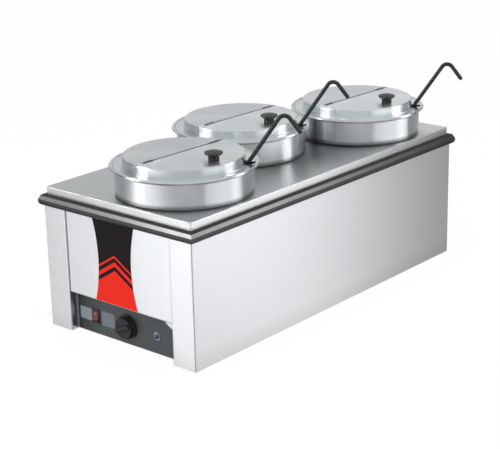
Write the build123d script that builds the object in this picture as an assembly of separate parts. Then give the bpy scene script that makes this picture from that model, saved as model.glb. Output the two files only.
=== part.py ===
from build123d import *
import os
from math import asin, atan2, cos, hypot, radians, sin, sqrt, tan

# A countertop food warmer: a steel casing round a heated water well, with a lift-off adapter plate
# and three round insets, each with a hinged lid and a ladle. All sizes are in millimetres.
# +X runs across the control front, +Y from that front to the rear, +Z up. The origin is the middle
# of the footprint, on the counter.

# Fits shared by many pieces
sheet = 1.0               # stainless sheet of the casing, the adapter plate and the well
bend = 2.0                # middle radius of a bend in that sheet
rest_gap = 0.3            # between a lift-off piece and what it stands on
seam = 0.6                # between neighbouring casing panels
running = 0.05            # radial play of a pin or a shaft in its bore
screw_play = 0.2          # radial play of a screw in its hole

# Casing
body_width = 350.0
body_length = 756.0
body_height = 226.0       # casing, from its lower edge to the rim
foot_height = 3.0         # rubber foot, below the casing
foot_radius = 14.0
foot_taper = 1.5          # how much smaller the foot's sole is
foot_from_side = 35.0
foot_from_end = 50.0
post_width = 51.5         # front post that each side panel bends into
rear_return = 22.0        # rear flange of each side panel
control_opening = 72.0    # height of the opening under the front panel
front_set_back = 3.0      # front panel behind the posts
tray_wall = 14.0          # upturned walls of the base tray
film = 0.25               # printed film on the front panel
film_end_width = 101.0    # film at its top and foot
film_waist_width = 78.5   # film at half height
film_offset = -8.2        # film's middle from the front's middle
rear_screw_count = 3      # on each rear flange
rear_screw_margin = 25.0

# Rim
rim_overhang = 7.5        # rim beyond the casing
rim_height = 18.5
rim_bevel = (4.5, 8.5)    # bevel along the rim's upper edge, across and up
rim_underbevel = (3.0, 4.5)
rim_edge_round = 2.0
rim_rail_root = 9.0       # rails reach this far up into the rim
rim_rail = 3.0            # thickness of the rails that locate the rim inside the casing
rim_rail_depth = 10.0
rim_rail_end = 45.0       # rail's end from the casing's end

# Well
well_side_room = 18.0     # from the well to the casing's side
well_end_room = 21.0      # from the well to the casing's ends
well_lift = 79.0          # room for the heating under the well
well_corner = 40.0
well_floor_round = 10.0
well_flange = 8.0
well_drop = 0.5           # flange below the rim's top
well_play = 0.5           # between the well and the rim

# Heating and insulation
element_radius = 4.0
element_runs = 4
element_side_gap = 67.0   # from the outer runs to the well's side
element_bend_gap = 2.0    # a turn's radius below half of the space between two runs
element_end_gap = 60.0    # from the element's turns to the well's end
element_lead = 33.0       # how far the two leads reach past the front turn
pin_length = 12.0         # cold pin on each lead
pin_thickness = 2.0       # radius of a cold pin
hot_gap = 0.2             # between the element and the well
clamp_spacing = 200.0
clamp_width = 14.0
clamp_thickness = 1.5
clamp_overhang = 15.0     # clamp beyond the outer runs
stud_radius = 2.0
stud_tail = 4.8           # stud below the last nut's seat
nut_radius = 4.0
nut_height = 3.2
reflector_drop = 2.6      # reflector below the upper nut
reflector_edge = 7.0      # upturned edge of the reflector
reflector_margin = 17.0   # reflector inside the well's outline
board = 12.0              # insulation board
board_gap = 0.3
side_board_end = 27.0     # side board from the well's end
rear_board_side = 12.0    # rear board from the well's side
front_board_side = 5.5    # front board from the posts
bulb_radius = 3.0
bulb_length = 90.0
capillary_radius = 1.0
capillary_bend = 8.0
cutout_radius = 9.0       # limit cut-out under the well
cutout_height = 7.0

# Controls
recess = 16.4             # control panel behind the posts
control_sheet = 1.2
control_height = 34.0     # control axes above the casing's lower edge
control_floor_gap = 1.5   # control panel above the casing's lower edge
panel_lap = 10.0          # control panel behind the posts and the front panel
corner_cut_radius = 36.2  # round cut in the control panel's upper right corner
corner_cut_side = 5.5     # its centre from the post, and above the front panel's lower edge
corner_cut_rise = 16.8
bracket_foot = 30.0
legend_thickness = 0.6
switch_legend_width = 29.0
switch_legend_height = 23.0
dial_legend_width = 32.0
dial_legend_height = 27.0
legend_gap = 0.8          # between the switch and its legend
dial_legend_from_switch = 31.1
switch_from_post = 47.2
bezel_width = 18.0
bezel_height = 26.0
bezel_thickness = 2.0
bezel_lip = 1.2           # bezel beyond the switch body, all round
switch_depth = 26.0       # switch body behind the panel
switch_wall = 0.7
rocker_play = 0.3
rocker_radius = 10.3      # from the rocker's pivot to its ends
rocker_pivot_depth = 3.0  # pivot behind the control panel's face
rocker_front = 2.4        # rocker's middle in front of the panel's face
rocker_rise = 1.0         # rocker's ends beyond its middle
rocker_back = 4.0         # rocker behind its pivot
rocker_tilt = 8.0         # degrees, either side of the middle
trunnion_radius = 1.6
dial_x = 3.0
knob_radius = 22.0        # knob's skirt
knob_skirt = 4.0
knob_gap = 0.8            # knob off the panel
grip_radius = 19.5
grip_taper = 1.0
knob_length = 13.0        # knob's face from the panel
knob_flutes = 24
knob_flute_radius = 1.3
bar_width = 9.0           # raised bar across the knob's face
bar_height = 4.5
bar_turn = 24.0           # degrees, the bar's slope at rest
bar_round = 1.5
shaft_radius = 3.0
shaft_length = 10.5       # in front of the panel
shaft_socket = 6.0        # shaft inside the thermostat's bush
bush_radius = 5.0
bush_length = 3.0         # in front of the panel
bush_room = 4.0           # free space round the bush inside the knob
thermostat_width = 40.0
thermostat_height = 38.0
thermostat_depth = 44.0
lamp_from_post = 50.1
lamp_radius = 5.0         # lamp body
lamp_bezel_radius = 6.8
lamp_bezel = 1.6
lamp_depth = 22.0
lamp_nut_radius = 8.0
lamp_nut = 3.0
lens_radius = 5.4
lens_seat = 0.4           # thickness of the bezel's floor
lens_side = 0.8           # lens in front of the bezel, before it domes
lens_dome = 2.2
block_width = 46.0        # terminal block
block_length = 30.0
block_height = 16.0
block_from_side = 103.0
block_from_rear = 48.0
wire_radius = 1.3
wire_bend = 4.0
wire_floor = 8.0          # low wires above the tray
wire_return = 9.0         # wires behind the thermostat
wire_front = 10.0         # riser wires in front of the element's pins
wire_apart = 6.0
gland_from_side = 65.0
gland_height = 27.0       # above the casing's lower edge
gland_radius = 8.0
gland_bore = 4.0
gland_head_radius = 12.0
gland_head = 6.0
gland_tail = 15.0         # gland inside the casing
gland_nut = 4.0

# Small screws
screw_radius = 1.6
screw_head_radius = 3.4
screw_head = 2.2
screw_length = 8.0
foot_screw_radius = 2.0
foot_screw_head_radius = 4.0
foot_screw_head = 1.2
foot_screw_sink = 0.6     # screw's head above the foot's sole

# Adapter plate
plate_margin = 4.0        # plate inside the casing's outline
plate_edge = 14.2         # down-turned edge
plate_corner = 3.0
plate_round = 2.0         # rounding along the plate's upper edge
opening_lip = 4.0

# Insets
rim_gap = 4.4             # between the rims of two neighbouring insets
rim_from_side = 2.95      # from an inset's rim to the casing's side
rim_from_end = 0.95       # from an inset's rim to the casing's end
inset_sheet = 0.9
inset_play = 2.5          # between an inset and its opening
inset_lift = 27.0         # inset above the well's floor
inset_floor_round = 10.0
shoulder_round = 2.5
shoulder_width = 12.0     # from the plate's opening out to the collar
collar_height = 45.2      # from the shoulder to the flare
flare_out = 5.95
flare_rise = 8.9
flare_round = 5.0
curl_out = 3.1
curl_drop = 4.9
curl_round = 2.2

# Lids
lid_sheet = 1.0
lid_in = 14.5             # lid's side inside the collar
lid_flare = 1.0           # lid's skirt is this much wider at its foot
lid_edge_round = 3.0
skirt_height = 18.5
brim_lift = 5.5           # brim's edge above the foot of the flare
brim_fall = 2.1           # brim's inner edge below its outer edge
brim_round = 1.6
lid_turn = -2.0           # degrees, hinge line from the long axis
hinge_offset = -6.0       # hinge line from the lid's middle
hinge_gap = 0.5           # from the hinge line to each half of the lid
hinge_in = 25.5           # each hinge from the lid's side, along the hinge line
knuckle_radius = 1.8
knuckle_length = 10.0     # flap's knuckle
side_knuckle_length = 7.0
knuckle_play = 0.4
hinge_pin_radius = 0.9
lid_knob_in = 29.0        # knob from the lid's side
lid_knob_side = -5.9      # knob along the hinge line
cap_radius = 15.7
cap_edge = 2.5            # thickness of the cap at its edge
cap_dome = 3.0
cap_under = 5.0           # sloped underside of the cap
stem_radius = 9.4
stem_height = 8.0
stem_flutes = 12
stem_flute_radius = 1.5
knob_screw_radius = 2.0
knob_screw_head_radius = 4.0
knob_screw_head = 2.2
knob_screw_length = 12.0  # inside the knob

# Ladles
ladle_heading = 33.5      # degrees from +X, the way that each handle leans
ladle_in = 9.7            # handle inside the collar, level with the brim's edge
handle_radius = 3.7       # coated handle
handle_rise = 109.8       # from the brim to the hook's corner
handle_inside = 34.0      # coating below the brim
hook_fall = 53.5          # degrees below level
hook_length = 44.5
hook_bend = 11.5
rod_radius = 2.7
bowl_radius = 39.0
bowl_sheet = 1.0
bowl_weld = 1.5           # rod's axis outside the bowl
bowl_gap = 15.0           # between the bowl and the inset's far wall
rod_tail = 10.0           # rod below the bowl's edge
slot_width = 15.0         # ladle slot in the flap
slot_play = 1.2
slot_rise = 6.0           # slot above the brim, in the skirt

# Levels and planes worked out from the sizes above
half_width = body_width / 2
half_length = body_length / 2
case_bottom = foot_height
case_top = case_bottom + body_height
rim_top = case_top + rim_height
plate_bottom = rim_top + rest_gap
plate_top = plate_bottom + plate_edge
well_top = rim_top - well_drop
well_under = case_bottom + well_lift
well_floor = well_under + sheet
well_width = body_width - 2 * well_side_room
well_length = body_length - 2 * well_end_room
post_edge = half_width - post_width
front_face = -half_length + front_set_back
front_panel_bottom = case_bottom + control_opening
panel_face = -half_length + recess
panel_back = panel_face + control_sheet
bracket_back = panel_back + control_sheet
control_z = case_bottom + control_height
switch_x = switch_from_post - post_edge
switch_legend_x = switch_x - (bezel_width + switch_legend_width) / 2 - legend_gap
dial_legend_x = switch_x + dial_legend_from_switch
lamp_x = post_edge - lamp_from_post
block_x = half_width - block_from_side
gland_x = half_width - gland_from_side
tray_floor = case_bottom + sheet
seat = plate_top + rest_gap
inset_bottom = well_floor + inset_lift
inset_floor = inset_bottom + inset_sheet
flare_foot = seat + collar_height
flare_angle = atan2(flare_out, flare_rise)
brim_edge = flare_foot + brim_lift
brim_foot = brim_edge - brim_fall
lid_top = brim_foot + skirt_height

# The three insets stand in a zigzag that fills the plate: each rim is rim_gap from its neighbours',
# rim_from_side from a side, and the outer two are rim_from_end from an end. The rim's radius follows.
zigzag_x = half_width - rim_from_side
zigzag_y = half_length - rim_from_end
spread = 4 * zigzag_x + zigzag_y + 2 * rim_gap
rim_reach = round(spread - sqrt(spread**2 - 4 * zigzag_x**2 - zigzag_y**2 + rim_gap**2), 2)
inset_stagger = zigzag_x - rim_reach
inset_pitch = zigzag_y - rim_reach
collar_radius = rim_reach - flare_out - curl_out
opening_radius = collar_radius - shoulder_width
inset_radius = opening_radius - inset_play
lid_radius = collar_radius - lid_in
hinge_reach = lid_radius - hinge_in
lid_knob_reach = lid_radius - lid_knob_in
ladle_reach = collar_radius - ladle_in

# Each ladle stands in its inset, with the bowl in the far corner and the handle on the brim. The
# rod runs past the side of the bowl, and its lean follows from where the bowl and the brim are.
weld_offset = bowl_radius + bowl_weld
bowl_run = ladle_reach + inset_radius - inset_sheet - bowl_gap - bowl_radius
bowl_drop = brim_edge - inset_floor - rest_gap - bowl_radius
lean = atan2(bowl_drop, bowl_run) + asin(weld_offset / hypot(bowl_run, bowl_drop))
inset_centres = {
    "front": (inset_stagger, -inset_pitch),
    "middle": (-inset_stagger, 0.0),
    "rear": (inset_stagger, inset_pitch),
}
upright = (Align.CENTER, Align.CENTER, Align.MIN)


def block(x0, x1, y0, y1, z0, z1):
    """A box between two corners."""
    return Pos((x0 + x1) / 2, (y0 + y1) / 2, (z0 + z1) / 2) * Box(x1 - x0, y1 - y0, z1 - z0)


def peg(start, end, radius):
    """A round bar from one point to another."""
    along = Vector(*end) - Vector(*start)
    bar = Cylinder(radius, along.length, align=upright)
    return Plane(origin=start, z_dir=along).location * bar


def bent_strip(points, radii, thickness):
    """The section of a sheet bent along a line through these points."""
    return trace(FilletPolyline(*points, radius=radii), thickness)


def tube(points, bend_radius, radius):
    """A round tube along straight runs with bends between them."""
    path = FilletPolyline(*points, radius=bend_radius)
    return sweep(Plane(origin=path @ 0, z_dir=path % 0) * Circle(radius), path=path)


def dome(radius, low, rise):
    """Half the section of a shallow dome, from its edge to its crown."""
    sphere = (radius**2 + rise**2) / (2 * rise)
    half_angle = asin(radius / sphere) / 2
    between = (sphere * sin(half_angle), low + rise - sphere * (1 - cos(half_angle)))
    return ThreePointArc((radius, low), between, (0, low + rise))


def slab(width, length, corner, z0, z1):
    """An upright block with rounded corners."""
    return Pos(0, 0, z0) * extrude(RectangleRounded(width, length, corner), z1 - z0)


def on_panel(x):
    """A frame on the control panel: local Y is up, local Z points out of the front."""
    return Plane(origin=(x, panel_face, control_z), x_dir=(1, 0, 0), z_dir=(0, -1, 0)).location


# Casing panels


def rear_screw_places():
    """Where the screws go through the rear flanges."""
    low = case_bottom + rear_screw_margin
    step = (body_height - 2 * rear_screw_margin) / (rear_screw_count - 1)
    side = half_width - rear_return / 2
    return [(x, low + i * step) for x in (-side, side) for i in range(rear_screw_count)]


def rear_screw_holes():
    holes = []
    for x, z in rear_screw_places():
        start = (x, half_length - 3 * sheet, z)
        holes.append(peg(start, (x, half_length + sheet, z), screw_radius + screw_play))
    return holes


def side_panel():
    """Right-hand side panel: rear flange, side, front post and the post's return."""
    wall = half_width - sheet / 2
    front = -half_length + sheet / 2
    points = [
        (half_width - rear_return, half_length - sheet / 2),
        (wall, half_length - sheet / 2),
        (wall, front),
        (post_edge + sheet / 2, front),
        (post_edge + sheet / 2, panel_face),
    ]
    panel = extrude(bent_strip(points, bend, sheet), body_height)
    return Pos(0, 0, case_bottom) * panel


def rear_panel():
    """Flat rear, inside the side panels' flanges and clear of their bends."""
    side = half_width - sheet / 2 - bend - seam
    panel = block(-side, side, half_length - 2 * sheet, half_length - sheet, case_bottom, case_top)
    gland_z = case_bottom + gland_height
    start = (gland_x, half_length - 3 * sheet, gland_z)
    hole = peg(start, (gland_x, half_length, gland_z), gland_radius + screw_play)
    return panel - hole - rear_screw_holes()


def rear_screws():
    screws = []
    for x, z in rear_screw_places():
        head = peg((x, half_length, z), (x, half_length + screw_head, z), screw_head_radius)
        screws.append(head + peg((x, half_length, z), (x, half_length - screw_length, z), screw_radius))
    return screws


def front_panel():
    """Flat front between the posts, with its lower edge turned back to the control panel."""
    middle = front_face + sheet / 2
    lower = front_panel_bottom + sheet / 2
    points = [(middle, case_top), (middle, lower), (panel_face, lower)]
    width = 2 * (post_edge - seam)
    section = Plane.YZ * bent_strip(points, bend, sheet)
    return Pos(-width / 2, 0, 0) * extrude(section, width)


def front_film():
    """Waisted film on the front panel, from its bend up to the rim."""
    low = front_panel_bottom + bend + sheet / 2
    end, waist = film_end_width / 2, film_waist_width / 2
    middle = (low + case_top) / 2
    outline = [
        Line((-end, low), (end, low)),
        ThreePointArc((end, low), (waist, middle), (end, case_top)),
        Line((end, case_top), (-end, case_top)),
        ThreePointArc((-end, case_top), (-waist, middle), (-end, low)),
    ]
    panel = Plane(origin=(film_offset, front_face, 0), x_dir=(1, 0, 0), z_dir=(0, -1, 0))
    return extrude(panel * make_face(outline), film)


def base_tray():
    """Floor of the casing, with upturned side and rear walls."""
    side = half_width - sheet - seam
    rear = half_length - 2 * sheet - seam
    tray = block(-side, side, panel_back, rear, case_bottom, tray_floor)
    wall_top = case_bottom + tray_wall
    for x in (-side, side - sheet):
        tray += block(x, x + sheet, bracket_back, rear, case_bottom, wall_top)
    tray += block(-side, side, rear - sheet, rear, case_bottom, wall_top)
    for x, y in foot_places():
        tray -= peg((x, y, 0), (x, y, wall_top), foot_screw_radius + screw_play)
    return tray


def foot_places():
    x, y = half_width - foot_from_side, half_length - foot_from_end
    return [(-x, -y), (x, -y), (-x, y), (x, y)]


def rubber_feet():
    feet = []
    for x, y in foot_places():
        foot = Pos(x, y, 0) * Cone(foot_radius - foot_taper, foot_radius, foot_height, align=upright)
        foot -= peg((x, y, -sheet), (x, y, foot_height + sheet), foot_screw_radius + screw_play)
        head_seat = foot_screw_sink + foot_screw_head
        foot -= peg((x, y, -sheet), (x, y, head_seat), foot_screw_head_radius + screw_play)
        feet.append(foot)
    return feet


def foot_fixings():
    """A screw up through each foot, and its nut on the tray."""
    fixings = []
    for x, y in foot_places():
        head_top = foot_screw_sink + foot_screw_head
        nut_top = tray_floor + nut_height
        screw = peg((x, y, foot_screw_sink), (x, y, head_top), foot_screw_head_radius)
        fixings.append(screw + peg((x, y, head_top), (x, y, nut_top + sheet), foot_screw_radius))
        nut = Pos(x, y, tray_floor) * extrude(RegularPolygon(nut_radius, 6), nut_height)
        fixings.append(nut - peg((x, y, 0), (x, y, nut_top + sheet), foot_screw_radius + running))
    return fixings


# Rim and well


def rim_section(width):
    """The rim's section across its whole width, about its middle: bevelled above and below."""
    half_across, half_up = width / 2, rim_height / 2
    right = [
        (half_across - rim_underbevel[0], -half_up),
        (half_across, -half_up + rim_underbevel[1]),
        (half_across, half_up - rim_bevel[1]),
        (half_across - rim_bevel[0], half_up),
    ]
    left = [(-x, z) for x, z in reversed(right)]
    return make_face(Polyline(*right, *left, close=True))


def top_rim():
    """Moulded rim with bevelled edges, mitred corners and a rebate for the well's flange."""
    width, length = body_width + 2 * rim_overhang, body_length + 2 * rim_overhang
    middle = (case_top + rim_top) / 2
    front_view = Plane(origin=(0, 0, middle), x_dir=(1, 0, 0), z_dir=(0, -1, 0))
    side_view = Plane(origin=(0, 0, middle), x_dir=(0, 1, 0), z_dir=(1, 0, 0))
    across = extrude(front_view * rim_section(width), length, both=True)
    along = extrude(side_view * rim_section(length), width, both=True)
    rim = across & along
    rim = fillet(rim.edges().filter_by(Axis.X) + rim.edges().filter_by(Axis.Y), rim_edge_round)
    inside = sheet + well_play
    for clear, low in ((inside, case_top), (inside + well_flange, well_top)):
        width, length = well_width + 2 * clear, well_length + 2 * clear
        rim -= slab(width, length, well_corner + clear, low - sheet, rim_top + sheet)
    outside = half_width - sheet - rest_gap
    end = half_length - rim_rail_end
    for x in (-outside, outside - rim_rail):
        rim += block(x, x + rim_rail, -end, end, case_top - rim_rail_depth, case_top + rim_rail_root)
    return rim


def well_pan():
    """Deep-drawn water well that hangs in the rim by its flange."""
    wide, long = well_width + 2 * sheet, well_length + 2 * sheet
    outside = slab(wide, long, well_corner + sheet, well_under, well_top)
    outside = fillet(outside.faces().sort_by(Axis.Z)[0].edges(), well_floor_round + sheet)
    inside = slab(well_width, well_length, well_corner, well_floor, well_top)
    inside = fillet(inside.faces().sort_by(Axis.Z)[0].edges(), well_floor_round)
    lip = 2 * (sheet + well_flange)
    flange = slab(well_width + lip, well_length + lip, well_corner + lip / 2, well_top - sheet, well_top)
    return outside + flange - inside


# Heating and insulation

element_z = well_under - hot_gap - element_radius
element_turn = well_length / 2 - element_end_gap
element_front = -element_turn - element_lead
pin_front = element_front - pin_length
element_width = well_width - 2 * element_side_gap
element_pitch = element_width / (element_runs - 1)
element_bend = element_pitch / 2 - element_bend_gap
run_xs = [i * element_pitch - element_width / 2 for i in range(element_runs)]
clamp_top = element_z - element_radius - hot_gap / 2
clamp_bottom = clamp_top - clamp_thickness
reflector_top = clamp_bottom - nut_height - reflector_drop
reflector_bottom = reflector_top - sheet
clamp_ys = [-clamp_spacing, 0.0, clamp_spacing]


def heating_element():
    """Four runs under the well, with both leads at the front."""
    points = [(run_xs[0], element_front, element_z)]
    for i, x in enumerate(run_xs):
        near, far = (-element_turn, element_turn) if i % 2 == 0 else (element_turn, -element_turn)
        if i > 0:
            points.append((x, near, element_z))
        if i < len(run_xs) - 1:
            points.append((x, far, element_z))
    points.append((run_xs[-1], element_front, element_z))
    element = tube(points, element_bend, element_radius)
    for x in (run_xs[0], run_xs[-1]):
        element += peg((x, element_front, element_z), (x, pin_front, element_z), pin_thickness)
    return element


def element_clamps():
    reach = run_xs[-1] + clamp_overhang
    clamps = []
    for y in clamp_ys:
        bar = block(-reach, reach, y - clamp_width / 2, y + clamp_width / 2, clamp_bottom, clamp_top)
        clamps.append(bar - peg((0, y, clamp_bottom - 1), (0, y, clamp_top + 1), stud_radius + screw_play))
    return clamps


def clamp_fixings():
    """A stud on the well's floor for each clamp, with a nut under the clamp and the reflector."""
    fixings = []
    for y in clamp_ys:
        stud_end = reflector_bottom - nut_height - stud_tail
        fixings.append(peg((0, y, well_under), (0, y, stud_end), stud_radius))
        for top in (clamp_bottom, reflector_bottom):
            nut = Pos(0, y, top - nut_height) * extrude(RegularPolygon(nut_radius, 6), nut_height)
            fixings.append(nut - peg((0, y, stud_end), (0, y, well_under), stud_radius + running))
    return fixings


def heat_reflector():
    """Shallow tray under the element, held by the lower nuts."""
    half_x = well_width / 2 - reflector_margin
    half_y = -element_front - clamp_width
    tray = block(-half_x, half_x, -half_y, half_y, reflector_bottom, reflector_bottom + reflector_edge)
    inner_x, inner_y = half_x - sheet, half_y - sheet
    tray -= block(-inner_x, inner_x, -inner_y, inner_y, reflector_top, reflector_bottom + reflector_edge)
    for y in clamp_ys:
        tray -= peg((0, y, reflector_bottom - 1), (0, y, reflector_top + 1), stud_radius + screw_play)
    return tray


def side_boards():
    near = well_width / 2 + sheet + board_gap
    top = case_top - rim_rail_depth - sheet
    half = well_length / 2 - side_board_end
    right = block(near, near + board, -half, half, well_floor, top)
    return [right, mirror(right, about=Plane.YZ)]


def end_boards():
    near = well_length / 2 + sheet + board_gap
    top = case_top - rim_rail_depth - sheet
    bottom = front_panel_bottom + panel_lap + board_gap
    front_half, rear_half = post_edge - front_board_side, well_width / 2 - rear_board_side
    front = block(-front_half, front_half, -near - board, -near, bottom, top)
    rear = block(-rear_half, rear_half, near, near + board, bottom, top)
    return [front, rear]


def limit_cutout():
    """Limit cut-out on the well's floor, midway between two clamps."""
    x, y = (run_xs[0] + run_xs[1]) / 2, clamp_spacing / 2
    return peg((x, y, well_under), (x, y, well_under - cutout_height), cutout_radius)


# Controls

bulb_x = (run_xs[2] + run_xs[3]) / 2
bulb_z = well_under - hot_gap / 2 - bulb_radius
body_half_width = bezel_width / 2 - bezel_lip
body_half_height = bezel_height / 2 - bezel_lip
thermostat_back = bracket_back + thermostat_depth
switch_back = panel_face + switch_depth


def control_panel():
    """Dark plate at the back of the recess, with a round cut in its upper right corner."""
    side = post_edge + panel_lap
    bottom = case_bottom + control_floor_gap
    top = front_panel_bottom + panel_lap
    panel = block(-side, side, panel_face, panel_back, bottom, top) - control_holes()
    centre = (post_edge - corner_cut_side, front_panel_bottom + corner_cut_rise)
    start, end = (centre[0], panel_face - 1, centre[1]), (centre[0], panel_back + 1, centre[1])
    return panel - peg(start, end, corner_cut_radius)


def control_holes():
    """Holes for the switch, the thermostat's bush and the lamp."""
    width, height = 2 * (body_half_width + screw_play), 2 * (body_half_height + screw_play)
    holes = on_panel(switch_x) * Box(width, height, 3 * recess)
    holes += on_panel(dial_x) * Cylinder(bush_radius + screw_play, 3 * recess)
    holes += on_panel(lamp_x) * Cylinder(lamp_radius + screw_play, 3 * recess)
    return holes


def control_bracket():
    """Steel bracket behind the control panel, standing on the tray."""
    middle = panel_back + control_sheet / 2
    level = tray_floor + control_sheet / 2
    points = [
        (middle, front_panel_bottom + panel_lap),
        (middle, level),
        (bracket_back + bracket_foot, level),
    ]
    width = 2 * (post_edge + panel_lap)
    section = Plane.YZ * bent_strip(points, bend, control_sheet)
    bracket = Pos(-width / 2, 0, 0) * extrude(section, width)
    return bracket - control_holes()


def legend(x, width, height):
    """Thin plate on the face of the control panel."""
    return on_panel(x) * Box(width, height, legend_thickness, align=upright)


def switch_housing():
    body_width_here, body_height_here = 2 * body_half_width, 2 * body_half_height
    behind = (Align.CENTER, Align.CENTER, Align.MAX)
    housing = Box(body_width_here, body_height_here, switch_depth, align=behind)
    housing += Box(bezel_width, bezel_height, bezel_thickness, align=upright)
    cavity = Box(
        body_width_here - 2 * switch_wall,
        2 * (rocker_radius + rocker_play),
        bezel_thickness + rocker_pivot_depth + rocker_radius + rocker_play,
        align=behind,
    )
    housing -= Pos(0, 0, bezel_thickness) * cavity
    pivot = Pos(0, 0, -rocker_pivot_depth) * Rot(0, 90, 0)
    housing -= pivot * Cylinder(trunnion_radius + running, body_width_here)
    return on_panel(switch_x) * housing


def rocker_button():
    """Rocker with round ends about its pivot, tilted to its off position."""
    half = body_half_width - switch_wall - rocker_play
    front = rocker_pivot_depth + rocker_front
    outline = Polyline(
        (-rocker_radius, -rocker_back),
        (rocker_radius, -rocker_back),
        (rocker_radius, front + rocker_rise),
        (0, front),
        (-rocker_radius, front + rocker_rise),
        close=True,
    )
    side = make_face(outline) & Circle(rocker_radius)
    rocker = extrude(Plane.YZ * side, half, both=True)
    rocker += Rot(0, 90, 0) * Cylinder(trunnion_radius, 2 * (half + rocker_play + switch_wall / 2))
    return on_panel(switch_x) * Pos(0, 0, -rocker_pivot_depth) * Rot(-rocker_tilt, 0, 0) * rocker


def thermostat_body():
    """Switch box behind the bracket, with the bush that holds the shaft."""
    behind = panel_face - bracket_back
    inwards = (Align.CENTER, Align.CENTER, Align.MAX)
    body = Pos(0, 0, behind) * Box(thermostat_width, thermostat_height, thermostat_depth, align=inwards)
    body += Pos(0, 0, behind) * Cylinder(bush_radius, bush_length - behind, align=upright)
    bore_floor = bush_length - shaft_socket - running
    body -= Pos(0, 0, bore_floor) * Cylinder(shaft_radius + running, shaft_socket + 1, align=upright)
    return on_panel(dial_x) * body


def thermostat_shaft():
    start = bush_length - shaft_socket
    return on_panel(dial_x) * Pos(0, 0, start) * Cylinder(shaft_radius, shaft_length - start, align=upright)


def thermostat_knob():
    """Fluted knob with a skirt and a raised bar across its face."""
    grip_start = knob_gap + knob_skirt
    knob = Pos(0, 0, knob_gap) * Cylinder(knob_radius, knob_skirt, align=upright)
    grip = Cone(grip_radius, grip_radius - grip_taper, knob_length - grip_start, align=upright)
    knob += Pos(0, 0, grip_start) * grip
    for i in range(knob_flutes):
        flute = Cylinder(knob_flute_radius, knob_length, align=upright)
        knob -= Rot(0, 0, i * 360 / knob_flutes) * Pos(grip_radius, 0, grip_start) * flute
    bar_length = 2 * (grip_radius - grip_taper - knob_flute_radius)
    bar = Box(bar_length, bar_width, bar_height, align=upright)
    bar = fillet(bar.edges().group_by(Axis.Z)[-1] + bar.edges().filter_by(Axis.Z), bar_round)
    knob += Rot(0, 0, bar_turn) * Pos(0, 0, knob_length) * bar
    knob -= Cylinder(bush_radius + bush_room, bush_length + knob_gap, align=upright)
    knob -= Cylinder(shaft_radius + running, shaft_length + running, align=upright)
    return on_panel(dial_x) * knob


def sensor_bulb():
    """Bulb under the well, midway between two clamps, with its capillary to the thermostat's side."""
    front, rear = (-clamp_spacing - bulb_length) / 2, (-clamp_spacing + bulb_length) / 2
    bulb = peg((bulb_x, front, bulb_z), (bulb_x, rear, bulb_z), bulb_radius)
    drop_y = thermostat_back - thermostat_depth / 2
    points = [
        (bulb_x, front, bulb_z),
        (bulb_x, drop_y, bulb_z),
        (bulb_x, drop_y, control_z),
        (dial_x + thermostat_width / 2, drop_y, control_z),
    ]
    return bulb + tube(points, capillary_bend, capillary_radius)


def pilot_lamp():
    """Lamp body with a bezel in front of the panel and a nut behind the bracket."""
    behind = panel_face - bracket_back
    lamp = Cylinder(lamp_radius, lamp_depth, align=(Align.CENTER, Align.CENTER, Align.MAX))
    lamp += Cylinder(lamp_bezel_radius, lamp_bezel, align=upright)
    lamp += Pos(0, 0, behind - lamp_nut) * Cylinder(lamp_nut_radius, lamp_nut, align=upright)
    lamp -= Pos(0, 0, lens_seat) * Cylinder(lens_radius + running, lamp_bezel, align=upright)
    return on_panel(lamp_x) * lamp


def pilot_lens():
    """Domed lens seated in the lamp's bezel."""
    top = lamp_bezel + lens_side
    crown = top + lens_dome
    outline = [
        Line((0, lens_seat), (lens_radius, lens_seat)),
        Line((lens_radius, lens_seat), (lens_radius, top)),
        dome(lens_radius, top, lens_dome),
        Line((0, crown), (0, lens_seat)),
    ]
    return on_panel(lamp_x) * revolve(Plane.XZ * make_face(outline), Axis.Z)


# Supply

block_front = half_length - block_from_rear - block_length


def terminal_block():
    left, right = block_x - block_width / 2, block_x + block_width / 2
    rear, top = block_front + block_length, tray_floor + block_height
    return block(left, right, block_front, rear, tray_floor, top)


def lead_wires():
    """Wires from the terminal block and the thermostat to the switch and the element."""
    low = tray_floor + wire_floor
    behind = thermostat_back + wire_return
    riser = pin_front - wire_front
    upper = control_z + wire_apart
    supply_x = block_x - block_width / 4
    neutral_x = run_xs[-1]
    link_x = switch_x + wire_apart
    feed_x = dial_x - wire_apart
    load_x = dial_x + wire_apart
    routes = [
        [
            (supply_x, block_front, low),
            (supply_x, behind, low),
            (switch_x, behind, low),
            (switch_x, behind, control_z),
            (switch_x, switch_back, control_z),
        ],
        [
            (link_x, switch_back, control_z - wire_apart),
            (link_x, behind, control_z - wire_apart),
            (feed_x, behind, control_z - wire_apart),
            (feed_x, thermostat_back, control_z - wire_apart),
        ],
        [
            (load_x, thermostat_back, upper),
            (load_x, behind, upper),
            (run_xs[0], behind, upper),
            (run_xs[0], riser, upper),
            (run_xs[0], riser, element_z),
            (run_xs[0], pin_front, element_z),
        ],
        [
            (neutral_x, block_front, low),
            (neutral_x, riser, low),
            (neutral_x, riser, element_z),
            (neutral_x, pin_front, element_z),
        ],
    ]
    return [tube(route, wire_bend, wire_radius) for route in routes]


def cord_gland():
    """Gland in the rear panel: a head outside, a bored tail inside."""
    z = case_bottom + gland_height
    outside = half_length - sheet
    gland = peg((gland_x, outside, z), (gland_x, outside + gland_head, z), gland_head_radius)
    gland += peg((gland_x, outside, z), (gland_x, outside - gland_tail, z), gland_radius)
    start, end = outside - gland_tail - 1, outside + gland_head + 1
    return gland - peg((gland_x, start, z), (gland_x, end, z), gland_bore)


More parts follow.
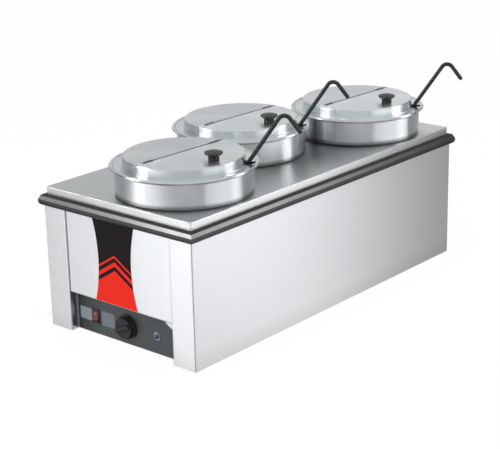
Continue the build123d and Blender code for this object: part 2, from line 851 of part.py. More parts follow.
def cord_gland_nut():
    z = case_bottom + gland_height
    inside = half_length - 2 * sheet
    nut = peg((gland_x, inside, z), (gland_x, inside - gland_nut, z), gland_head_radius)
    return nut - peg((gland_x, inside - gland_nut - 1, z), (gland_x, inside + 1, z), gland_radius + running)


# Adapter plate and insets


def adapter_plate():
    """Plate with down-turned edges and a lipped opening for each inset."""
    width, length = body_width - 2 * plate_margin, body_length - 2 * plate_margin
    plate = slab(width, length, plate_corner, plate_bottom, plate_top)
    plate = fillet(plate.faces().sort_by(Axis.Z)[-1].edges(), plate_round)
    inner_width, inner_length = width - 2 * sheet, length - 2 * sheet
    low, high = plate_bottom - sheet, plate_top - sheet
    hollow = slab(inner_width, inner_length, plate_corner - sheet, low, high)
    plate -= fillet(hollow.faces().sort_by(Axis.Z)[-1].edges(), plate_round - sheet)
    lip_bottom = plate_top - sheet - opening_lip
    for x, y in inset_centres.values():
        plate += peg((x, y, lip_bottom), (x, y, plate_top), opening_radius + sheet)
        plate -= peg((x, y, lip_bottom - 1), (x, y, plate_top + 1), opening_radius)
    return plate


def inset():
    """Round pot with a shoulder, a wide collar and a flared, rolled rim."""
    half = inset_sheet / 2
    wall = inset_radius - half
    collar = collar_radius - half
    points = [
        (0, inset_bottom + half),
        (wall, inset_bottom + half),
        (wall, seat + half),
        (collar, seat + half),
        (collar, flare_foot),
        (collar + flare_out, flare_foot + flare_rise),
        (collar + flare_out + curl_out, flare_foot + flare_rise - curl_drop),
    ]
    radii = [inset_floor_round, shoulder_round, shoulder_round, flare_round, curl_round]
    return revolve(Plane.XZ * bent_strip(points, radii, inset_sheet), Axis.Z)


# Lids, worked out about the lid's own middle with the hinge line along Y


def lid_shell():
    """The whole lid: flat top, skirt and a brim that lies in the inset's flare."""
    half = lid_sheet / 2
    flare_at_brim = collar_radius - inset_sheet / 2 + (brim_lift - half) * tan(flare_angle)
    brim_radius = flare_at_brim - inset_sheet / 2 / cos(flare_angle) - rest_gap
    points = [
        (0, lid_top - half),
        (lid_radius - half, lid_top - half),
        (lid_radius + lid_flare - half, brim_foot),
        (brim_radius, brim_edge),
    ]
    return revolve(Plane.XZ * bent_strip(points, [lid_edge_round, brim_round], lid_sheet), Axis.Z)


def half_lid(side):
    """The lid on one side of the hinge line: -1 is the fixed half, 1 the flap."""
    reach = 2 * collar_radius
    near = hinge_offset + side * hinge_gap
    low, high = sorted((near, near + side * reach))
    return lid_shell() & block(low, high, -reach, reach, brim_foot - skirt_height, lid_top + skirt_height)


def knuckle_spans():
    """For each hinge, the flap's knuckle and the two knuckles beside it, as spans along the hinge."""
    spans = []
    for middle in (-hinge_reach, hinge_reach):
        end = knuckle_length / 2
        start = end + knuckle_play
        sides = [
            (middle - start - side_knuckle_length, middle - start),
            (middle + start, middle + start + side_knuckle_length),
        ]
        spans.append(((middle - end, middle + end), sides))
    return spans


def hinge_bar(y0, y1, radius):
    return peg((hinge_offset, y0, lid_top), (hinge_offset, y1, lid_top), radius)


def knuckle_room(side, y0, y1):
    """Space cut out of one half of the lid round a knuckle of the other half."""
    near = hinge_offset
    far = hinge_offset + side * (knuckle_radius + knuckle_play)
    low, high = sorted((near, far))
    depth = knuckle_radius + knuckle_play
    return block(low, high, y0 - knuckle_play, y1 + knuckle_play, lid_top - depth, lid_top + depth)


def fixed_half():
    lid = half_lid(-1)
    for flap_span, side_spans in knuckle_spans():
        lid -= knuckle_room(-1, *flap_span)
        for span in side_spans:
            lid += hinge_bar(*span, knuckle_radius)
    return lid - hinge_bar(-hinge_reach * 2, hinge_reach * 2, hinge_pin_radius + running)


def ladle_slot():
    """Open slot through the flap's brim and the foot of its skirt."""
    lowest = brim_foot - lid_sheet
    axis_there = ladle_reach - (brim_edge - lowest) / tan(lean)
    inner_end = axis_there - handle_radius / sin(lean) - slot_play
    middle = inner_end + slot_width / 2
    height = slot_rise + 2 * lid_sheet
    slot = Pos(middle, 0, lowest) * Cylinder(slot_width / 2, height, align=upright)
    slot += block(middle, 2 * collar_radius, -slot_width / 2, slot_width / 2, lowest, lowest + height)
    return Rot(0, 0, ladle_heading - lid_turn) * slot


def flap():
    lid = half_lid(1) - ladle_slot()
    for flap_span, side_spans in knuckle_spans():
        lid += hinge_bar(*flap_span, knuckle_radius)
        for span in side_spans:
            lid -= knuckle_room(1, *span)
    lid -= hinge_bar(-hinge_reach * 2, hinge_reach * 2, hinge_pin_radius + running)
    x, y = lid_knob_reach, lid_knob_side
    return lid - peg((x, y, brim_foot), (x, y, lid_top + 1), knob_screw_radius + screw_play)


def hinge_pins():
    pins = []
    for _, (first, last) in knuckle_spans():
        pins.append(hinge_bar(first[0], last[1], hinge_pin_radius))
    return pins


def lid_knob():
    """Mushroom knob: fluted stem, flared underside, domed cap."""
    cap_low = stem_height + cap_under
    cap_high = cap_low + cap_edge
    outline = [
        Polyline((0, cap_high + cap_dome), (0, 0), (stem_radius, 0), (stem_radius, stem_height)),
        Polyline((stem_radius, stem_height), (cap_radius, cap_low), (cap_radius, cap_high)),
        dome(cap_radius, cap_high, cap_dome),
    ]
    knob = revolve(Plane.XZ * make_face(outline), Axis.Z)
    for i in range(stem_flutes):
        flute = Cylinder(stem_flute_radius, stem_height, align=upright)
        knob -= Rot(0, 0, i * 360 / stem_flutes) * Pos(stem_radius, 0, 0) * flute
    knob -= Cylinder(knob_screw_radius + running, knob_screw_length + running, align=upright)
    return Pos(lid_knob_reach, lid_knob_side, lid_top) * knob


def knob_screw():
    """Screw up through the flap into the knob."""
    head_top = -lid_sheet
    head = Cylinder(knob_screw_head_radius, knob_screw_head, align=upright)
    screw = Pos(0, 0, head_top - knob_screw_head) * head
    length = knob_screw_length - head_top
    screw += Pos(0, 0, head_top) * Cylinder(knob_screw_radius, length, align=upright)
    return Pos(lid_knob_reach, lid_knob_side, lid_top) * screw


# Ladles, worked out in the upright plane through the inset's middle: X outwards, Z up

along_handle = Vector(cos(lean), 0, sin(lean))
handle_at_brim = Vector(ladle_reach, 0, brim_edge)
rod_length = sqrt(bowl_run**2 + bowl_drop**2 - weld_offset**2)
bowl_centre = handle_at_brim - Vector(bowl_run, 0, bowl_drop)
hook_corner = handle_at_brim + along_handle * handle_rise
hook_down = Vector(cos(radians(hook_fall)), 0, -sin(radians(hook_fall)))
hook_tip = hook_corner + hook_down * hook_length
coat_start = handle_at_brim - along_handle * handle_inside
bend_start = hook_corner - along_handle * hook_bend * 2


def ladle():
    """Bowl with a straight rod welded to its side."""
    bowl = Sphere(bowl_radius) - Sphere(bowl_radius - bowl_sheet)
    bowl -= Cylinder(2 * bowl_radius, bowl_radius, align=upright)
    bowl = Plane(origin=bowl_centre, x_dir=(0, 1, 0), z_dir=along_handle).location * bowl
    rod = peg(handle_at_brim - along_handle * (rod_length + rod_tail), bend_start, rod_radius)
    inside = Plane(origin=bowl_centre, z_dir=along_handle).location * Sphere(bowl_radius - bowl_sheet)
    return bowl + (rod - inside)


def ladle_grip():
    """Coated handle over the rod, with its hook and rounded tip."""
    grip = tube([coat_start, hook_corner, hook_tip], hook_bend, handle_radius)
    grip += Pos(*hook_tip) * Sphere(handle_radius)
    return grip - peg(coat_start - along_handle, bend_start + along_handle * running, rod_radius + running)


nodes = {
    "right_side_panel": side_panel() - rear_screw_holes(),
    "left_side_panel": mirror(side_panel(), about=Plane.YZ) - rear_screw_holes(),
    "rear_panel": rear_panel(),
    "rear_panel_screws": rear_screws(),
    "front_panel": front_panel(),
    "front_film": front_film(),
    "base_tray": base_tray(),
    "rubber_feet": rubber_feet(),
    "foot_fixings": foot_fixings(),
    "top_rim": top_rim(),
    "well_pan": well_pan(),
    "heating_element": heating_element(),
    "element_clamps": element_clamps(),
    "clamp_fixings": clamp_fixings(),
    "heat_reflector": heat_reflector(),
    "side_insulation": side_boards(),
    "end_insulation": end_boards(),
    "limit_cutout": limit_cutout(),
    "control_panel": control_panel(),
    "control_bracket": control_bracket(),
    "switch_legend": legend(switch_legend_x, switch_legend_width, switch_legend_height),
    "dial_legend": legend(dial_legend_x, dial_legend_width, dial_legend_height),
    "switch_housing": switch_housing(),
    "rocker_button": rocker_button(),
    "thermostat_body": thermostat_body(),
    "thermostat_shaft": thermostat_shaft(),
    "thermostat_knob": thermostat_knob(),
    "sensor_bulb": sensor_bulb(),
    "pilot_lamp": pilot_lamp(),
    "pilot_lens": pilot_lens(),
    "terminal_block": terminal_block(),
    "lead_wires": lead_wires(),
    "cord_gland": cord_gland(),
    "cord_gland_nut": cord_gland_nut(),
    "adapter_plate": adapter_plate(),
}

lid_pieces = {
    "lid": fixed_half(),
    "lid_flap": flap(),
    "hinge_pins": hinge_pins(),
    "lid_knob": lid_knob(),
    "knob_screw": knob_screw(),
}
ladle_pieces = {"ladle": ladle(), "ladle_grip": ladle_grip()}
for place, (x, y) in inset_centres.items():
    nodes[f"{place}_inset"] = Pos(x, y, 0) * inset()
    for pieces, turn in ((lid_pieces, lid_turn), (ladle_pieces, ladle_heading)):
        for name, piece in pieces.items():
            set_down = Pos(x, y, 0) * Rot(0, 0, turn)
            solids = piece if isinstance(piece, list) else [piece]
            nodes[f"{place}_{name}"] = [set_down * solid for solid in solids]

os.makedirs("parts", exist_ok=True)
for name, piece in nodes.items():
    solids = piece if isinstance(piece, list) else [piece]
    shape = solids[0] if len(solids) == 1 else Compound(children=solids)
    shape.label = name
    export_step(shape, f"parts/{name}.step")
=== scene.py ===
import math
import bmesh
import bpy
from mathutils import Matrix, Vector


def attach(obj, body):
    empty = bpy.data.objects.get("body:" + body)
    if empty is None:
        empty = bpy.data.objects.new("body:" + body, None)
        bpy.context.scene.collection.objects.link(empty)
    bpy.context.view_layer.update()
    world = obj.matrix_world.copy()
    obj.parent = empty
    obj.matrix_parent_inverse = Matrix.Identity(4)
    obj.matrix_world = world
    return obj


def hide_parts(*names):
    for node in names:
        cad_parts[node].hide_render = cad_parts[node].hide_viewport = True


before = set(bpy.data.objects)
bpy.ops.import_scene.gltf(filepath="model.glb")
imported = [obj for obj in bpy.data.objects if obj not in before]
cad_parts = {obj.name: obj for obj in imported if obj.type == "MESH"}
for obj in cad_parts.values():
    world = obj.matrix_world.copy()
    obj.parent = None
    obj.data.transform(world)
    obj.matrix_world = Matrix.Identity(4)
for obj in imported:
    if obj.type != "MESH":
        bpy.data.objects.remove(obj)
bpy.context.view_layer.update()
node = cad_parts


# Casing panels: two stainless side sheets bent round onto the front as posts, a rear sheet inside their
# flanges, a front sheet hung between the posts, and the bracket behind the controls. All are folded from
# brushed sheet with the grain lying level, with shade painted a little greyer along the foot.
level_grain = (0.012, 0.012, 1)
quarter_turn = 0.25
sheet_fineness = 1400.0
sheet_relief = 0.12
relief_depth = 0.0001
mix_first, mix_second, mix_result = 6, 7, 2  # where a Mix node keeps its two colours and their mix


def shader_socket(finish, socket):
    """One input of a material's shader."""
    return finish.node_tree.nodes["Principled BSDF"].inputs[socket]


def new_finish(name, **values):
    """A material with one Principled shader, its plain values set on the shader's own sockets."""
    finish = bpy.data.materials.new(name)
    finish.use_nodes = True
    for socket, value in values.items():
        shader_socket(finish, socket.replace("_", " ")).default_value = value
    return finish


def add_node(tree, kind, **settings):
    """A new node in a tree, with its settings."""
    made = tree.nodes.new(kind)
    for name, value in settings.items():
        setattr(made, name, value)
    return made


def object_place(finish, stretch=(1, 1, 1), centre=(0, 0, 0), turn=0.0):
    """Object coordinates, counted from a centre, stretched along each axis and turned about Z."""
    tree = finish.node_tree
    coordinates = add_node(tree, "ShaderNodeTexCoord")
    mapping = add_node(tree, "ShaderNodeMapping")
    mapping.inputs["Scale"].default_value = stretch
    mapping.inputs["Rotation"].default_value = (0, 0, turn)
    start = Vector([-c * s for c, s in zip(centre, stretch)])
    mapping.inputs["Location"].default_value = Matrix.Rotation(turn, 3, "Z") @ start
    tree.links.new(coordinates.outputs["Object"], mapping.inputs["Vector"])
    return mapping.outputs["Vector"]


def axes_of(finish, **place):
    """The X, Y and Z of a place on the piece, for masks."""
    axes = add_node(finish.node_tree, "ShaderNodeSeparateXYZ")
    finish.node_tree.links.new(object_place(finish, **place), axes.inputs["Vector"])
    return axes.outputs


def new_effect(name, *masks):
    """An empty shader group: a place and a fineness go in, and the named masks come out."""
    effect = bpy.data.node_groups.new(name, "ShaderNodeTree")
    effect.interface.new_socket("Place", in_out="INPUT", socket_type="NodeSocketVector")
    effect.interface.new_socket("Fineness", in_out="INPUT", socket_type="NodeSocketFloat")
    for mask in masks:
        effect.interface.new_socket(mask, in_out="OUTPUT", socket_type="NodeSocketFloat")
    start, end = add_node(effect, "NodeGroupInput"), add_node(effect, "NodeGroupOutput")
    return effect, start.outputs, end.inputs


def add_noise(effect, place, scale, detail, mask):
    """One noise in a group, from a place to a mask; its scale is a number or a socket of the group."""
    noise = add_node(effect, "ShaderNodeTexNoise")
    noise.inputs["Detail"].default_value = detail
    if isinstance(scale, float):
        noise.inputs["Scale"].default_value = scale
    else:
        effect.links.new(scale, noise.inputs["Scale"])
    effect.links.new(place, noise.inputs["Vector"])
    effect.links.new(noise.outputs["Fac"], mask)


def place_effect(finish, effect, place, fineness):
    """The masks of an effect inside a material, with its own place and fineness."""
    placed = add_node(finish.node_tree, "ShaderNodeGroup", node_tree=effect)
    finish.node_tree.links.new(place, placed.inputs["Place"])
    placed.inputs["Fineness"].default_value = fineness
    return placed.outputs


def mix_colours(finish, mask):
    """A colour mix led by a mask: its two colour inputs and the colour that comes out."""
    mix = add_node(finish.node_tree, "ShaderNodeMix", data_type="RGBA")
    finish.node_tree.links.new(mask, mix.inputs["Factor"])
    return mix.inputs[mix_first], mix.inputs[mix_second], mix.outputs[mix_result]


def vary_colour(finish, mask, dull, bright):
    """Spread a mask between two base colours."""
    first, second, mixed = mix_colours(finish, mask)
    first.default_value = (*dull, 1)
    second.default_value = (*bright, 1)
    finish.node_tree.links.new(mixed, shader_socket(finish, "Base Color"))


def cover(finish, mask, colour):
    """Lay another colour over the base colour where the mask is 1."""
    base = shader_socket(finish, "Base Color")
    first, second, mixed = mix_colours(finish, mask)
    finish.node_tree.links.new(base.links[0].from_socket, first)
    second.default_value = (*colour, 1)
    finish.node_tree.links.new(mixed, base)


def vary(finish, mask, socket, low, high):
    """Spread a mask between two values on one socket of the shader."""
    spread = add_node(finish.node_tree, "ShaderNodeMapRange")
    spread.inputs["To Min"].default_value = low
    spread.inputs["To Max"].default_value = high
    finish.node_tree.links.new(mask, spread.inputs["Value"])
    finish.node_tree.links.new(spread.outputs["Result"], shader_socket(finish, socket))


def raise_surface(finish, mask, strength):
    """Small relief from a mask."""
    bump = add_node(finish.node_tree, "ShaderNodeBump")
    bump.inputs["Strength"].default_value = strength
    bump.inputs["Distance"].default_value = relief_depth
    finish.node_tree.links.new(mask, bump.inputs["Height"])
    finish.node_tree.links.new(bump.outputs["Normal"], shader_socket(finish, "Normal"))


def narrow(finish, value, middle, half, soft):
    """A mask that is 1 where a value is within half of the middle, with soft edges."""
    tree = finish.node_tree
    off = add_node(tree, "ShaderNodeMath", operation="SUBTRACT")
    off.inputs[1].default_value = middle
    tree.links.new(value, off.inputs[0])
    away = add_node(tree, "ShaderNodeMath", operation="ABSOLUTE")
    tree.links.new(off.outputs["Value"], away.inputs[0])
    edge = add_node(tree, "ShaderNodeMapRange")
    edge.inputs["From Min"].default_value = half + soft
    edge.inputs["From Max"].default_value = half - soft
    tree.links.new(away.outputs["Value"], edge.inputs["Value"])
    return edge.outputs["Result"]


def dress(finish, *names):
    """Put a finish on CAD nodes."""
    for name in names:
        piece = node[name]
        piece.data.materials.clear()
        piece.data.materials.append(finish)


sheet_grain, grain_in, grain_out = new_effect("sheet grain", "Streaks", "Cloud")
add_noise(sheet_grain, grain_in["Place"], scale=grain_in["Fineness"], detail=4.0, mask=grain_out["Streaks"])
add_noise(sheet_grain, grain_in["Place"], scale=5.0, detail=2.0, mask=grain_out["Cloud"])


def brushed_sheet(name, stretch, dull, bright, rough, axis="Z", smear=0.0, turn=0.0):
    """Brushed stainless sheet; the stretch is small along the grain and 1 across it. Reflections smear
    along a ring round the axis, or square to it with a quarter turn."""
    smoother, rougher = 0.04, 0.05
    finish = new_finish(name, Metallic=1.0, Anisotropic=smear, Anisotropic_Rotation=turn)
    ring = add_node(finish.node_tree, "ShaderNodeTangent", direction_type="RADIAL", axis=axis)
    finish.node_tree.links.new(ring.outputs["Tangent"], shader_socket(finish, "Tangent"))
    grain = place_effect(finish, sheet_grain, object_place(finish, stretch), sheet_fineness)
    vary_colour(finish, grain["Streaks"], dull, bright)
    vary(finish, grain["Cloud"], "Roughness", rough - smoother, rough + rougher)
    raise_surface(finish, grain["Streaks"], sheet_relief)
    return finish


casing_steel = brushed_sheet(
    "casing steel", level_grain, dull=(0.735, 0.75, 0.772), bright=(0.852, 0.866, 0.885), rough=0.29,
    smear=0.9, turn=quarter_turn)
# Painted shade: the casing steel is greyer along the foot.
painted_foot_shade = narrow(casing_steel, axes_of(casing_steel)["Z"], middle=0.0, half=0.02, soft=0.018)
cover(casing_steel, painted_foot_shade, colour=(0.7, 0.71, 0.72))
dress(casing_steel, "left_side_panel", "right_side_panel", "rear_panel", "front_panel", "control_bracket")


# Rear panel screws: pan-head steel screws with a cross recess, through the flanges of the side panels
# into the rear sheet. The six heads repeat one shape.
screw_head_radius = 0.0034
screw_head_height = 0.0022
head_profile = [(1.0, 0.0), (1.0, 0.35), (0.93, 0.7), (0.72, 0.92), (0.4, 1.0)]  # of radius, of height
head_sides = 24
recess_arm = 0.16 * screw_head_radius
recess_reach = 0.36 * screw_head_radius
recess_taper = 0.6
recess_floor = 0.25 * screw_head_height
rear_face = 0.378
screw_places = [(x, rear_face, z) for x in (-0.164, 0.164) for z in (0.028, 0.116, 0.204)]
face_rearwards = -math.pi / 2

screw_steel = brushed_sheet(
    "screw steel", (1, 1, 1), dull=(0.55, 0.56, 0.57), bright=(0.68, 0.69, 0.70), rough=0.32)


def neighbours(loop):
    """Each point of a closed loop with the next one."""
    return list(zip(loop, loop[1:] + loop[:1]))


def screw_head():
    """One domed head, lying on its seat at the origin and facing along +Z, with a cross cut in."""
    mesh = bpy.data.meshes.new("screw head")
    shape = bmesh.new()
    turns = [2 * math.pi * i / head_sides for i in range(head_sides)]
    loops = []
    for share, rise in head_profile:
        radius, height = share * screw_head_radius, rise * screw_head_height
        loops.append([shape.verts.new((radius * math.cos(t), radius * math.sin(t), height)) for t in turns])
    for low, high in zip(loops, loops[1:]):
        for (low_a, low_b), (high_a, high_b) in zip(neighbours(low), neighbours(high)):
            shape.faces.new((low_a, low_b, high_b, high_a))
    shape.faces.new(reversed(loops[0]))
    cross = []
    for x, y in ((1, 0), (0, 1), (-1, 0), (0, -1)):
        along, side = Vector((x, y, 0)), Vector((-y, x, 0))
        cross += [along * recess_reach - side * recess_arm,
                  along * recess_reach + side * recess_arm,
                  along * recess_arm + side * recess_arm]
    top = [shape.verts.new(p + Vector((0, 0, screw_head_height))) for p in cross]
    bottom = [shape.verts.new(p * recess_taper + Vector((0, 0, recess_floor))) for p in cross]
    for (top_a, top_b), (bottom_a, bottom_b) in zip(neighbours(top), neighbours(bottom)):
        shape.faces.new((top_b, top_a, bottom_a, bottom_b))
    shape.faces.new(bottom)
    edges = [shape.edges.get(pair) for loop in (loops[-1], top) for pair in neighbours(loop)]
    bmesh.ops.triangle_fill(shape, edges=edges, use_beauty=True)
    bmesh.ops.recalc_face_normals(shape, faces=shape.faces)
    shape.to_mesh(mesh)
    shape.free()
    return mesh


def repeat_tree(name, shape_object, finish):
    """Geometry nodes: one copy of a shape on each point, tipped about X by the Tilt input."""
    tree = bpy.data.node_groups.new(name, "GeometryNodeTree")
    tree.interface.new_socket("Geometry", in_out="INPUT", socket_type="NodeSocketGeometry")
    tilt = tree.interface.new_socket("Tilt", in_out="INPUT", socket_type="NodeSocketFloat")
    tree.interface.new_socket("Geometry", in_out="OUTPUT", socket_type="NodeSocketGeometry")
    start, end = add_node(tree, "NodeGroupInput"), add_node(tree, "NodeGroupOutput")
    shape = add_node(tree, "GeometryNodeObjectInfo")
    shape.inputs["Object"].default_value = shape_object
    turn = add_node(tree, "ShaderNodeCombineXYZ")
    copies = add_node(tree, "GeometryNodeInstanceOnPoints")
    real = add_node(tree, "GeometryNodeRealizeInstances")
    painted = add_node(tree, "GeometryNodeSetMaterial")
    painted.inputs["Material"].default_value = finish
    tree.links.new(start.outputs["Geometry"], copies.inputs["Points"])
    tree.links.new(shape.outputs["Geometry"], copies.inputs["Instance"])
    tree.links.new(start.outputs["Tilt"], turn.inputs["X"])
    tree.links.new(turn.outputs["Vector"], copies.inputs["Rotation"])
    tree.links.new(copies.outputs["Instances"], real.inputs["Geometry"])
    tree.links.new(real.outputs["Geometry"], painted.inputs["Geometry"])
    tree.links.new(painted.outputs["Geometry"], end.inputs["Geometry"])
    return tree, tilt.identifier


def add_piece(name, mesh):
    """A new object at the origin that holds a mesh."""
    piece = bpy.data.objects.new(name, mesh)
    bpy.context.scene.collection.objects.link(piece)
    return piece


def plain_piece(name, source):
    """A new object at the origin that holds the evaluated mesh of another, which is then removed."""
    bpy.context.view_layer.update()
    graph = bpy.context.evaluated_depsgraph_get()
    mesh = bpy.data.meshes.new_from_object(source.evaluated_get(graph), depsgraph=graph)
    bpy.data.objects.remove(source)
    return add_piece(name, mesh)


head = add_piece("one screw head", screw_head())
points = bpy.data.meshes.new("screw places")
points.from_pydata(screw_places, [], [])
carrier = add_piece("screw places", points)
heads_tree, tilt_input = repeat_tree("rear screws", head, screw_steel)
modifier = carrier.modifiers.new("rear screws", "NODES")
modifier.node_group = heads_tree
modifier[tilt_input] = face_rearwards
rear_screws = plain_piece("rear_screw_heads", carrier)
bpy.data.objects.remove(head)
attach(rear_screws, "casing")
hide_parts("rear_panel_screws")


# Printed film: a thin waisted strip of satin plastic film, stuck on the front panel from the rim to its
# lower bend. It is black above and red below, with plain red chevrons where the colours meet.
film_black = (0.006, 0.004, 0.005)
film_red = (0.80, 0.018, 0.006)
film_middle = -0.0082
film_fineness = 700.0
film_relief = 0.03
chevron_slope = 0.62
red_below = 0.138
red_chevrons = [(0.147, 0.154), (0.161, 0.1645)]  # from and to, in height at the middle

film_finish = new_finish("printed film", Specular_IOR_Level=0.1)
tree = film_finish.node_tree
axes = axes_of(film_finish, centre=(film_middle, 0, 0))
across = add_node(tree, "ShaderNodeMath", operation="ABSOLUTE")
tree.links.new(axes["X"], across.inputs[0])
height = add_node(tree, "ShaderNodeMath", operation="MULTIPLY_ADD")
height.inputs[1].default_value = chevron_slope
tree.links.new(across.outputs["Value"], height.inputs[0])
tree.links.new(axes["Z"], height.inputs[2])
inks = add_node(tree, "ShaderNodeValToRGB")
inks.color_ramp.interpolation = "CONSTANT"
tree.links.new(height.outputs["Value"], inks.inputs["Fac"])
stops = inks.color_ramp.elements
stops[0].color = (*film_red, 1)
stops[1].position = red_below
stops[1].color = (*film_black, 1)
for low, high in red_chevrons:
    stops.new(low).color = (*film_red, 1)
    stops.new(high).color = (*film_black, 1)
tree.links.new(inks.outputs["Color"], shader_socket(film_finish, "Base Color"))
film_skin = place_effect(film_finish, sheet_grain, object_place(film_finish), film_fineness)
vary(film_finish, film_skin["Cloud"], "Roughness", low=0.26, high=0.4)
raise_surface(film_finish, film_skin["Streaks"], film_relief)
dress(film_finish, "front_film")


# Base: a folded steel tray that closes the casing below, on four moulded rubber feet, each held by a
# screw and a nut.
moulded_skin, skin_in, skin_out = new_effect("moulded skin", "Grain", "Handling")
add_noise(moulded_skin, skin_in["Place"], scale=skin_in["Fineness"], detail=2.0, mask=skin_out["Grain"])
add_noise(moulded_skin, skin_in["Place"], scale=30.0, detail=3.0, mask=skin_out["Handling"])


def moulded(name, dark, light, rough, relief=0.1, fineness=900.0, **values):
    """A moulded or painted finish with a fine skin and uneven handling."""
    smoother, rougher = 0.05, 0.07
    finish = new_finish(name, **values)
    skin = place_effect(finish, moulded_skin, object_place(finish), fineness)
    vary_colour(finish, skin["Handling"], dark, light)
    vary(finish, skin["Handling"], "Roughness", rough - smoother, rough + rougher)
    raise_surface(finish, skin["Grain"], relief)
    return finish


inner_steel = brushed_sheet(
    "inner steel", (0.02, 0.4, 0.4), dull=(0.52, 0.53, 0.54), bright=(0.64, 0.65, 0.66), rough=0.36)
foot_rubber = moulded(
    "foot rubber", dark=(0.012, 0.012, 0.012), light=(0.024, 0.024, 0.023), rough=0.75, relief=0.25)
dress(inner_steel, "base_tray", "foot_fixings")
dress(foot_rubber, "rubber_feet")


# Control panel: a satin dark plate at the back of the recess, on the bright bracket behind it. Shade is
# painted on it towards the left end, with a painted highlight along the edge there, and two plain grey
# plates are stuck on its face.
panel_end = -0.122

panel_paint = moulded(
    "panel paint", dark=(0.042, 0.049, 0.053), light=(0.056, 0.064, 0.069), rough=0.42, relief=0.08)
panel_across = axes_of(panel_paint)["X"]
# Painted shade towards the left end of the panel, and a painted highlight along its edge there.
painted_end_shade = narrow(panel_paint, panel_across, middle=panel_end, half=0.032, soft=0.03)
cover(panel_paint, painted_end_shade, colour=(0.008, 0.011, 0.012))
painted_edge_highlight = narrow(panel_paint, panel_across, middle=panel_end, half=0.0012, soft=0.0004)
cover(panel_paint, painted_edge_highlight, colour=(0.2, 0.21, 0.22))
plain_plate = moulded(
    "plain plate", dark=(0.19, 0.22, 0.25), light=(0.25, 0.28, 0.31), rough=0.4, relief=0.05)
darker_plate = moulded(
    "darker plate", dark=(0.125, 0.15, 0.168), light=(0.165, 0.19, 0.21), rough=0.4, relief=0.05)
dress(panel_paint, "control_panel")
dress(plain_plate, "switch_legend")
dress(darker_plate, "dial_legend")


# Power switch: a black snap-in housing with a red rocker that tips on two trunnions.
# The rocker is moulded, with one plain pale bar on its face.
bar_place = {"X": -0.0763, "Z": 0.0425}
bar_half = {"X": 0.0006, "Z": 0.0024}
bar_soft = 0.0001


def times(finish, first, second):
    """The part that two masks share."""
    both = add_node(finish.node_tree, "ShaderNodeMath", operation="MULTIPLY")
    finish.node_tree.links.new(first, both.inputs[0])
    finish.node_tree.links.new(second, both.inputs[1])
    return both.outputs["Value"]


switch_black = moulded("switch black", dark=(0.012, 0.012, 0.013), light=(0.022, 0.022, 0.023), rough=0.38)
rocker_red = moulded(
    "rocker red", dark=(0.13, 0.013, 0.018), light=(0.18, 0.018, 0.025), rough=0.34, relief=0.04)
axes = axes_of(rocker_red)
bar_width, bar_height = [
    narrow(rocker_red, axes[axis], bar_place[axis], bar_half[axis], bar_soft) for axis in ("X", "Z")]
cover(rocker_red, times(rocker_red, bar_width, bar_height), colour=(0.4, 0.36, 0.37))
dress(switch_black, "switch_housing")
dress(rocker_red, "rocker_button")


# Thermostat: a box with a threaded bush behind the bracket, with a bulb on a thin tube under the well,
# and a steel shaft that carries a plain black fluted knob with a raised bar. A limit cut-out backs it up.
phenolic = moulded("phenolic", dark=(0.016, 0.014, 0.013), light=(0.03, 0.027, 0.025), rough=0.5)
knob_black = moulded(
    "knob black", dark=(0.012, 0.0125, 0.013), light=(0.02, 0.021, 0.022), rough=0.38,
    Specular_IOR_Level=0.3)
dress(phenolic, "thermostat_body")
dress(inner_steel, "thermostat_shaft", "sensor_bulb", "limit_cutout")
dress(knob_black, "thermostat_knob")


# Pilot lamp: a bright metal body with a thin bezel, held by a nut behind the bracket, and a domed
# blue lens.
lens_blue = moulded(
    "lens blue", dark=(0.010, 0.02, 0.08), light=(0.02, 0.036, 0.13), rough=0.1, relief=0.02,
    Coat_Weight=0.6, Coat_Roughness=0.03)
dress(screw_steel, "pilot_lamp")
dress(lens_blue, "pilot_lens")


# Rim: a thick moulded black band with bevelled edges, mitred at the corners and glossy but for a matt
# ledge under the plate. It sits on the casing, located by two rails, and carries the well.
ledge_height = 0.2475


def dull_where(finish, mask, rough):
    """Give the shader another roughness where the mask is 1."""
    tree = finish.node_tree
    target = shader_socket(finish, "Roughness")
    mix = add_node(tree, "ShaderNodeMix", data_type="FLOAT")
    tree.links.new(mask, mix.inputs["Factor"])
    tree.links.new(target.links[0].from_socket, mix.inputs["A"])
    mix.inputs["B"].default_value = rough
    tree.links.new(mix.outputs["Result"], target)


rim_black = moulded(
    "rim black", dark=(0.014, 0.016, 0.017), light=(0.022, 0.025, 0.026), rough=0.17, relief=0.04)
ledge = narrow(rim_black, axes_of(rim_black)["Z"], middle=ledge_height, half=0.002, soft=0.0003)
cover(rim_black, ledge, colour=(0.024, 0.025, 0.026))
dull_where(rim_black, ledge, rough=1.0)
dress(rim_black, "top_rim")


# Well and heating: a deep-drawn steel pan hung in the rim, with a tubular element clamped under its
# floor, a reflector below that and fibre boards round it.
element_sheath = moulded(
    "element sheath", dark=(0.03, 0.032, 0.03), light=(0.07, 0.068, 0.06), rough=0.55, relief=0.2,
    Metallic=0.6)
fibre_board = moulded(
    "fibre board", dark=(0.62, 0.58, 0.46), light=(0.74, 0.7, 0.58), rough=0.9, relief=0.6, fineness=500.0)
dress(inner_steel, "well_pan", "element_clamps", "clamp_fixings", "heat_reflector")
dress(element_sheath, "heating_element")
dress(fibre_board, "side_insulation", "end_insulation")


# Supply: a moulded terminal block on the tray, sleeved lead wires, and a black gland with its nut where
# a cord goes through the rear panel.
block_white = moulded("block white", dark=(0.62, 0.6, 0.55), light=(0.7, 0.68, 0.63), rough=0.45)
wire_sleeve = moulded(
    "wire sleeve", dark=(0.42, 0.4, 0.33), light=(0.55, 0.52, 0.44), rough=0.7, relief=0.4, fineness=1800.0)
dress(block_white, "terminal_block")
dress(wire_sleeve, "lead_wires")
dress(knob_black, "cord_gland", "cord_gland_nut")
